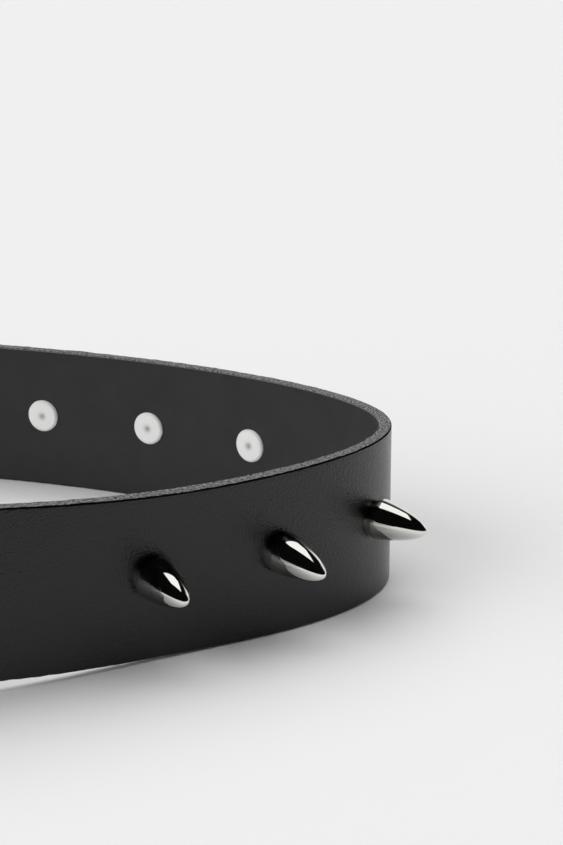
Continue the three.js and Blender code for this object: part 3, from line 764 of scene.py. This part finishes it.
def build_spikes(course, finish):
    studs = course.studs
    body, collar = studs.spike_diameter / 2, studs.collar_diameter / 2
    seat = -(course.strap.clearance + studs.dish_depth + SPIKE_SINK)
    foot = studs.collar_height
    profile = [(0, seat), (collar, seat), (collar, foot - COLLAR_TUCK)]
    profile += [(share * body, foot + rise) for share, rise in SPIKE_FOOT]
    for share in 1 - np.linspace(1, 0, SPIKE_RINGS)[1:] ** SPIKE_CROWDING:
        out = (1 - share**SPIKE_TAPER) ** SPIKE_NOSE
        profile.append((out * body, foot + share * (studs.spike_length - foot)))
    profile[-1] = (0, studs.spike_length)
    material = chrome_plate(finish)
    generator = np.random.default_rng(5)
    for i, (name, s) in enumerate(zip(SPIKES, course.stud_places())):
        droop, swing = SPIKE_TILTS[i] if i < len(SPIKE_TILTS) else generator.uniform(*OTHER_TILTS)
        tilt = Matrix.Rotation(math.radians(droop), 4, "X") @ Matrix.Rotation(math.radians(swing), 4, "Y")
        piece = lathe(f"{name}_polished", profile, SPIKE_SIDES, material)
        piece.data.transform(course.stand(s, course.strap.clearance) @ tilt)
        finish_piece(piece, "polished_chrome", name)


def build_rivets(course, finish):
    head, height = course.studs.head_diameter / 2, course.studs.head_height
    # Painted reflection: the near-white colour with little metal stands in for the satin nickel's reflection
    # of a bright room.
    material = satin_plate("nickel_plate_tumbled", finish.back_metal, (0.4, 0.5), metallic=0.15)
    for name, s in zip(RIVETS, course.stud_places()):
        inner_bend = 1 / (1 / course.bend(s) - course.strap.thickness)
        hollow = head * head * inner_bend / 2
        # From the soft dimple in the crown out over the low rim and down into the leather.
        profile = []
        for share in np.linspace(0, 1, HEAD_RINGS):
            out = share * head
            dimple = DIMPLE_DEPTH * math.exp(-((out / DIMPLE_RADIUS) ** 2))
            groove = GROOVE_DEPTH * math.exp(-(((out - GROOVE_PLACE * head) / GROOVE_WIDTH) ** 2))
            fall = 1 - max(0.0, (share - RIM_START) / (1 - RIM_START)) ** 2
            crown = height * (RIM_HEIGHT + (1 - RIM_HEIGHT) * fall)
            profile.append((out, dimple + groove - crown))
        profile += [(0.985 * head, hollow + HEAD_SINK), (0, hollow + HEAD_SINK)]
        piece = lathe(f"{name}_back", profile, HEAD_SIDES, material, smooth_angle=50.0)
        # This attribute marks where the painted shade in the crown's hollow goes.
        dimple = piece.data.attributes.new("dimple", "FLOAT", "POINT")
        reach = [math.hypot(vertex.co.x, vertex.co.y) / MM for vertex in piece.data.vertices]
        dimple.data.foreach_set("value", [math.exp(-((out / DIMPLE_RADIUS) ** 2)) for out in reach])
        piece.data.transform(course.stand(s, -course.strap.thickness - hollow))
        finish_piece(piece, "satin_nickel", name)


# Buckle and keeper

FRAME_INNER_CORNER = 1.6
FRAME_POINTS = (9, 14)  # round each corner and along each side
FRAME_SIDES = 16
BAR_SQUARENESS = 0.62  # 1 is a round bar, less has broader faces
PRONG_NOSE = (0.98, 0.93, 0.84, 0.66, 0.3)  # shares of the radius over the last steps

# The prong's eye, a short sleeve rolled round the heel bar: height and thickness over the bar.
EYE = ((-2.2, 0.02), (-2.0, 0.2), (-1.6, 0.25), (0, 0.25), (1.6, 0.25), (2.0, 0.2), (2.2, 0.02))
EYE_SIDES = 32

KEEPER_CORNER = 0.4
KEEPER_CORNER_POINTS = 12
KEEPER_EDGE_ROUND = 0.35

STITCH_COLUMNS = (34.0, 40.5)  # back from the heel bar
STITCH_PITCH = 3.6
STITCH_GAP = 0.45  # between a stitch's end and its hole's middle
STITCH_MARGIN = 4.0  # from the strap's edges
STITCH_RISE = 0.22
STITCH_SLANT = 0.12
STITCH_STEPS = 9
THREAD_RADIUS = 0.32


def rounded_bar_frame(course):
    """The buckle's frame: a rounded bar swept once round the opening, under the strap at the
    heel bar and over it at the front bar."""
    buckle, strap = course.buckle, course.strap
    heel_half, front_half = buckle.bar_thickness / 2, buckle.front_bar_width / 2
    low, high = (course.heel - heel_half, -course.frame_rise), (course.front + front_half, course.frame_rise)
    outer = rounded_rectangle(low, high, buckle.frame_corner, *FRAME_POINTS)
    window = strap.width / 2 + buckle.side_gap
    left, right = course.heel + heel_half, course.front - front_half
    inner = rounded_rectangle((left, -window), (right, window), FRAME_INNER_CORNER, *FRAME_POINTS)
    # A squared circle keeps the bar's faces broad and its edges well rounded.
    angles = np.linspace(0, 2 * np.pi, FRAME_SIDES, endpoint=False)
    u, v = (np.sign(wave) * abs(wave) ** BAR_SQUARENESS for wave in (np.cos(angles), np.sin(angles)))
    centre, reach = (outer + inner) / 2, (outer - inner) / 2
    s = centre[:, 0:1] + reach[:, 0:1] * u
    z = centre[:, 1:2] + reach[:, 1:2] * u
    share = np.clip((s - left) / (right - left), 0, 1)
    n = course.heel_depth + share * (course.front_depth - course.heel_depth) + v * heel_half
    vertices = course.place(s, n, z + strap.width / 2).reshape(-1, 3)
    return vertices, grid_faces(len(outer), FRAME_SIDES, close_rows=True)


def swept_rod(points, radii, sides=16):
    """A round rod along a list of points, as vertices and faces, with flat ends."""
    points = np.asarray(points)
    tangents = np.gradient(points, axis=0)
    tangents /= np.linalg.norm(tangents, axis=1)[:, None]
    side = np.cross(tangents, [0, 0, 1.0])
    side /= np.linalg.norm(side, axis=1)[:, None]
    up = np.cross(side, tangents)
    angles = np.linspace(0, 2 * np.pi, sides, endpoint=False)
    rings = []
    for point, a, b, radius in zip(points, side, up, radii):
        rings.append(point + radius * (np.cos(angles)[:, None] * a + np.sin(angles)[:, None] * b))
    return np.concatenate(rings), grid_faces(len(points), sides, capped=True)


def smooth_route(points, count):
    """Even steps along a rounded run through given points."""
    points = np.array(points, float)
    knots = run_lengths(points)
    t = np.linspace(0, knots[-1], count)
    line = np.stack([np.interp(t, knots, points[:, i]) for i in range(points.shape[1])], -1)
    for _ in range(3):
        line[1:-1] = (line[:-2] + 2 * line[1:-1] + line[2:]) / 4
    return line


def build_buckle(course, finish):
    buckle, strap = course.buckle, course.strap
    half = buckle.hole_length / 2
    over = course.front_depth + buckle.bar_thickness / 2 + 0.4 * buckle.prong_diameter
    under, middle = course.heel_depth, -strap.thickness / 2
    # Under the strap to its hole, up through it, and over the front bar.
    route = [
        (course.heel, under),
        (course.hole - 1.05 * half, under),
        (course.hole - 0.6 * half, under + 0.2 * (middle - under)),
        (course.hole, middle),
        (course.hole + 0.6 * half, middle + 0.62 * (over - middle)),
        (course.hole + 1.25 * half, over),
        (course.front + 0.42 * buckle.front_bar_width, over),
    ]
    line = smooth_route(route, 60)
    radii = np.full(len(line), buckle.prong_diameter / 2)
    radii[-len(PRONG_NOSE) :] *= PRONG_NOSE
    points = course.place(line[:, 0], line[:, 1], np.full(len(line), strap.width / 2))
    rise, thickness = np.array(EYE).T[:, :, None]
    sleeve = buckle.bar_thickness / 2 + thickness
    angles = np.linspace(0, 2 * np.pi, EYE_SIDES, endpoint=False)
    s, n = course.heel + sleeve * np.cos(angles), course.heel_depth + sleeve * np.sin(angles)
    eye = course.place(s, n, strap.width / 2 + rise + 0 * s).reshape(-1, 3)
    material = satin_plate("nickel_plate_satin", finish.buckle_metal, (0.22, 0.34))
    pieces = {
        "buckle_frame": (rounded_bar_frame(course), 70.0),
        "buckle_prong": (swept_rod(points, radii * MM), 70.0),
        "buckle_prong_eye": ((eye, grid_faces(len(EYE), EYE_SIDES, capped=True)), 50.0),
    }
    for name, ((vertices, faces), smooth_angle) in pieces.items():
        piece = make_mesh(name, vertices, faces, [material], smooth_angle=smooth_angle)
        finish_piece(piece, "satin_nickel", "buckle")


def build_keeper(course, finish):
    """A strip of thinner leather wrapped once round, with its cut edges to either side."""
    strap, buckle = course.strap, course.buckle
    thickness, half = buckle.keeper_thickness, buckle.keeper_width / 2
    low = np.array([-2 * strap.thickness - 2 * strap.clearance, -strap.clearance])
    high = np.array([course.lap + strap.clearance, strap.width + strap.clearance])
    inner, outer = (
        rounded_rectangle(low - grow, high + grow, KEEPER_CORNER + grow, KEEPER_CORNER_POINTS)
        for grow in (0.0, thickness)
    )
    # Round the strip's section: outer face, rounded edge, cut edge, inner face, cut edge, rounded edge.
    section = [
        (KEEPER_EDGE_ROUND - half, 1.0, FACE),
        (half - KEEPER_EDGE_ROUND, 1.0, FACE),
        (half - 0.1, 0.9, CUT),
        (half, 0.75, CUT),
        (half, 0.12, CUT),
        (half - 0.15, 0.0, FLESH),
        (0.15 - half, 0.0, FLESH),
        (-half, 0.12, CUT),
        (-half, 0.75, CUT),
        (0.1 - half, 0.9, FACE),
    ]
    across, share, kinds = (np.array(values) for values in zip(*section))
    n, z = (inner[:, i : i + 1] + (outer - inner)[:, i : i + 1] * share for i in range(2))
    s = course.heel - buckle.keeper_reach + across + 0 * n
    vertices = course.place(s, n, z).reshape(-1, 3)
    faces = grid_faces(len(inner), len(section), close_rows=True)
    indices = np.tile(kinds, len(inner)).tolist()
    around = run_lengths(outer)[:, None] + 0 * share
    uvs = np.stack([around, share * thickness + 0 * around], -1).reshape(-1, 2)
    materials = [bridle_leather(finish), flesh_leather(finish), raw_edge(finish)]
    piece = make_mesh("keeper_leather", vertices, faces, materials, indices, uvs, smooth_angle=50.0)
    finish_piece(piece, "black_leather", "keeper")


def build_stitching(course, finish):
    """Two short rows of saddle stitches hold the fold, beyond the keeper."""
    strap = course.strap
    vertices, faces = [], []
    arc = np.sin(np.linspace(0, np.pi, STITCH_STEPS))
    slant = STITCH_SLANT * np.linspace(-1, 1, STITCH_STEPS)
    n = -2 * strap.thickness - strap.clearance - 0.02 - STITCH_RISE * arc
    radii = THREAD_RADIUS * MM * (0.55 + 0.45 * arc)
    heights = np.arange(STITCH_MARGIN, strap.width - STITCH_MARGIN + 0.1, STITCH_PITCH)
    for back in STITCH_COLUMNS:
        for low, high in zip(heights[:-1], heights[1:]):
            z = np.linspace(low + STITCH_GAP, high - STITCH_GAP, STITCH_STEPS)
            points, rod_faces = swept_rod(course.place(course.heel - back + slant, n, z), radii, 8)
            faces += [tuple(i + len(vertices) for i in face) for face in rod_faces]
            vertices.extend(points.tolist())
    piece = make_mesh("fold_stitches", vertices, faces, [waxed_thread(finish)], smooth_angle=80.0)
    finish_piece(piece, "black_leather")


# Stage

FOCAL_PIXELS = 2065
PICTURE_LONG_SIDE = 845
SENSOR = 36.0
CAMERA_PLACE = (-0.69, -12.50, 4.41)  # from the loop's right end, its middle and the floor, in strap widths
CAMERA_PITCH = 15.26

FLOOR_DROP = -0.0002
FLOOR_SPAN = 6.0
NEAR_EDGE = -0.75  # the paper nearer than this doesn't show in reflections
SCREEN_RADIUS = 2.4
BACKDROP_TOP = 1.5
BACKDROP_GLOW = 0.9
SOFTBOX_SIZE = (0.5, 0.76)
SOFTBOX_GLOW = 1.15
REFLECTED_ONLY = ("camera", "diffuse", "shadow")

# The broad lights: the side they come from, how broad they are in degrees, and their share of
# the paper's white. The air gives the rest.
SKY_LIGHTS = {
    "diffuser_over": ((0.1, 0.5, 1.0), 72, 0.58),
    "diffuser_left": ((-0.8, -0.45, 0.45), 60, 0.24),
}


def stage_piece(name, vertices, faces, material, hidden_from=()):
    piece = make_mesh(name, vertices, faces, [material])
    for ray in hidden_from:
        setattr(piece, f"visible_{ray}", False)


def level_sheet(name, x_range, y_range, z, material, hidden_from=()):
    """A flat sheet that faces up, or down where its y range runs backwards."""
    (x0, x1), (y0, y1) = x_range, y_range
    points = [(x0, y0, z), (x1, y0, z), (x1, y1, z), (x0, y1, z)]
    stage_piece(name, points, [(0, 1, 2, 3)], material, hidden_from)


def curved_screen(name, sweep, heights, material):
    """An upright screen, part of a cylinder round the belt, that only reflections show."""
    angles = np.radians(np.linspace(*sweep, 23))
    points = [(SCREEN_RADIUS * math.cos(a), SCREEN_RADIUS * math.sin(a), z) for z in heights for a in angles]
    count = len(angles)
    faces = [(j, j + 1, count + j + 1, count + j) for j in range(count - 1)]
    stage_piece(name, points, faces, material, REFLECTED_ONLY)


def softbox_card(centre, target):
    """The softbox as polished metal sees it: a glowing card over the belt."""
    turn = (Vector(target) - Vector(centre)).to_track_quat("-Z", "Y")
    width, depth = SOFTBOX_SIZE
    corners = [(-width, -depth), (width, -depth), (width, depth), (-width, depth)]
    points = [Vector(centre) + turn @ Vector((x / 2, y / 2, 0)) for x, y in corners]
    material = glowing_paper("softbox_diffuser", SOFTBOX_GLOW)
    stage_piece("softbox_card", points, [(0, 1, 2, 3)], material, REFLECTED_ONLY)


def sky_light(name, toward, spread, share):
    """A broad even light from one side of the sky that gives the paper this share of its white."""
    toward = Vector(toward).normalized()
    data = bpy.data.lights.new(name, "SUN")
    data.angle = math.radians(spread)
    data.energy = share * math.pi / toward.z
    light = bpy.data.objects.new(name, data)
    light.rotation_mode = "QUATERNION"
    light.rotation_quaternion = toward.to_track_quat("Z", "Y")
    light.visible_glossy = False
    bpy.context.collection.objects.link(light)


def build_camera(course):
    """Stands where the photograph's camera stood, worked out in strap widths."""
    right, back, up = (share * course.strap.width * MM for share in CAMERA_PLACE)
    loop_middle = (course.y.max() + course.y.min()) / 2 * MM
    data = bpy.data.cameras.new("camera")
    data.sensor_width = SENSOR
    data.lens = FOCAL_PIXELS / PICTURE_LONG_SIDE * SENSOR
    data.clip_start, data.clip_end = 0.01, 50
    camera = bpy.data.objects.new("camera", data)
    camera.location = (max(course.x) * MM + right, loop_middle + back, up)
    camera.rotation_euler = (math.radians(90 - CAMERA_PITCH), 0, 0)
    bpy.context.collection.objects.link(camera)
    bpy.context.scene.camera = camera


def build_stage(course, finish):
    paper, velvet = matt_board(finish), black_flag()
    span, radius = (-FLOOR_SPAN, FLOOR_SPAN), SCREEN_RADIUS
    level_sheet("paper_floor", span, (NEAR_EDGE, FLOOR_SPAN), FLOOR_DROP, paper)
    level_sheet("paper_floor_front", span, (-FLOOR_SPAN, NEAR_EDGE), FLOOR_DROP, paper, ("glossy",))
    # Black flags stand round the camera's side and a lit backdrop behind, for reflections alone.
    curved_screen("black_flags", (-200, 20), (-radius, radius), velvet)
    glow = glowing_paper("backdrop_paper", BACKDROP_GLOW)
    curved_screen("lit_backdrop", (20, 160), (0, BACKDROP_TOP), glow)
    level_sheet("black_ceiling", (-radius, radius), (radius, -radius), radius, velvet, REFLECTED_ONLY)
    level_sheet("black_basement", (-radius, radius), (-radius, radius), -radius, velvet, REFLECTED_ONLY)
    for name, (toward, spread, share) in SKY_LIGHTS.items():
        sky_light(name, toward, spread, share)
    softbox_card((0.24, 0.25, 1.05), (0.2, 0.05, 0.0))
    world = bpy.data.worlds.new("studio_air")
    world.use_nodes = True
    background = world.node_tree.nodes["Background"]
    background.inputs["Color"].default_value = (1, 1, 1, 1)
    background.inputs["Strength"].default_value = 1 - sum(share for _, _, share in SKY_LIGHTS.values())
    bpy.context.scene.world = world
    bpy.context.scene.view_settings.view_transform = "Standard"
    build_camera(course)


# Add-on


class BuildsPiece:
    """What the operators share: each builds its piece in the belt's colours."""

    def execute(self, context):
        self.build(Course(), context.scene.belt_finish)
        return {"FINISHED"}


class BELT_OT_strap(BuildsPiece, bpy.types.Operator):
    """Make the leather strap with its holes, fold and pointed end"""

    bl_idname = "belt.strap"
    bl_label = "Strap"
    build = staticmethod(build_strap)


class BELT_OT_spikes(BuildsPiece, bpy.types.Operator):
    """Make the polished spikes"""

    bl_idname = "belt.spikes"
    bl_label = "Spikes"
    build = staticmethod(build_spikes)


class BELT_OT_rivets(BuildsPiece, bpy.types.Operator):
    """Make the round rivet backs on the inside"""

    bl_idname = "belt.rivets"
    bl_label = "Rivet Backs"
    build = staticmethod(build_rivets)


class BELT_OT_buckle(BuildsPiece, bpy.types.Operator):
    """Make the buckle's frame and prong"""

    bl_idname = "belt.buckle"
    bl_label = "Buckle"
    build = staticmethod(build_buckle)


class BELT_OT_keeper(BuildsPiece, bpy.types.Operator):
    """Make the leather keeper beside the buckle"""

    bl_idname = "belt.keeper"
    bl_label = "Keeper"
    build = staticmethod(build_keeper)


class BELT_OT_stitching(BuildsPiece, bpy.types.Operator):
    """Make the stitches that hold the fold"""

    bl_idname = "belt.stitching"
    bl_label = "Stitching"
    build = staticmethod(build_stitching)


class BELT_OT_stage(BuildsPiece, bpy.types.Operator):
    """Make the paper floor, the lights and the camera"""

    bl_idname = "belt.stage"
    bl_label = "Stage"
    build = staticmethod(build_stage)


OPERATORS = (
    BELT_OT_strap,
    BELT_OT_spikes,
    BELT_OT_rivets,
    BELT_OT_buckle,
    BELT_OT_keeper,
    BELT_OT_stitching,
    BELT_OT_stage,
)
PROPERTIES = {
    "belt_strap": StrapSizes,
    "belt_studs": StudSizes,
    "belt_buckle": BuckleSizes,
    "belt_finish": BeltFinish,
}


class VIEW3D_PT_studded_belt(bpy.types.Panel):
    """The belt's sizes, colours and pieces"""

    bl_label = "Studded Belt"
    bl_idname = "VIEW3D_PT_studded_belt"
    bl_space_type = "VIEW_3D"
    bl_region_type = "UI"
    bl_category = "Belt"

    def draw(self, context):
        for operator in OPERATORS:
            self.layout.operator(operator.bl_idname)
        for name, group in PROPERTIES.items():
            box = self.layout.box()
            for field in group.__annotations__:
                box.prop(getattr(context.scene, name), field)


def register():
    for cls in (*PROPERTIES.values(), *OPERATORS, VIEW3D_PT_studded_belt):
        bpy.utils.register_class(cls)
    for name, group in PROPERTIES.items():
        setattr(bpy.types.Scene, name, bpy.props.PointerProperty(type=group))


def unregister():
    for name in PROPERTIES:
        delattr(bpy.types.Scene, name)
    for cls in reversed((*PROPERTIES.values(), *OPERATORS, VIEW3D_PT_studded_belt)):
        bpy.utils.unregister_class(cls)


def main():
    register()
    bpy.ops.belt.strap()
    bpy.ops.belt.spikes()
    bpy.ops.belt.rivets()
    bpy.ops.belt.buckle()
    bpy.ops.belt.keeper()
    bpy.ops.belt.stitching()
    bpy.ops.belt.stage()


if __name__ == "__main__":
    main()
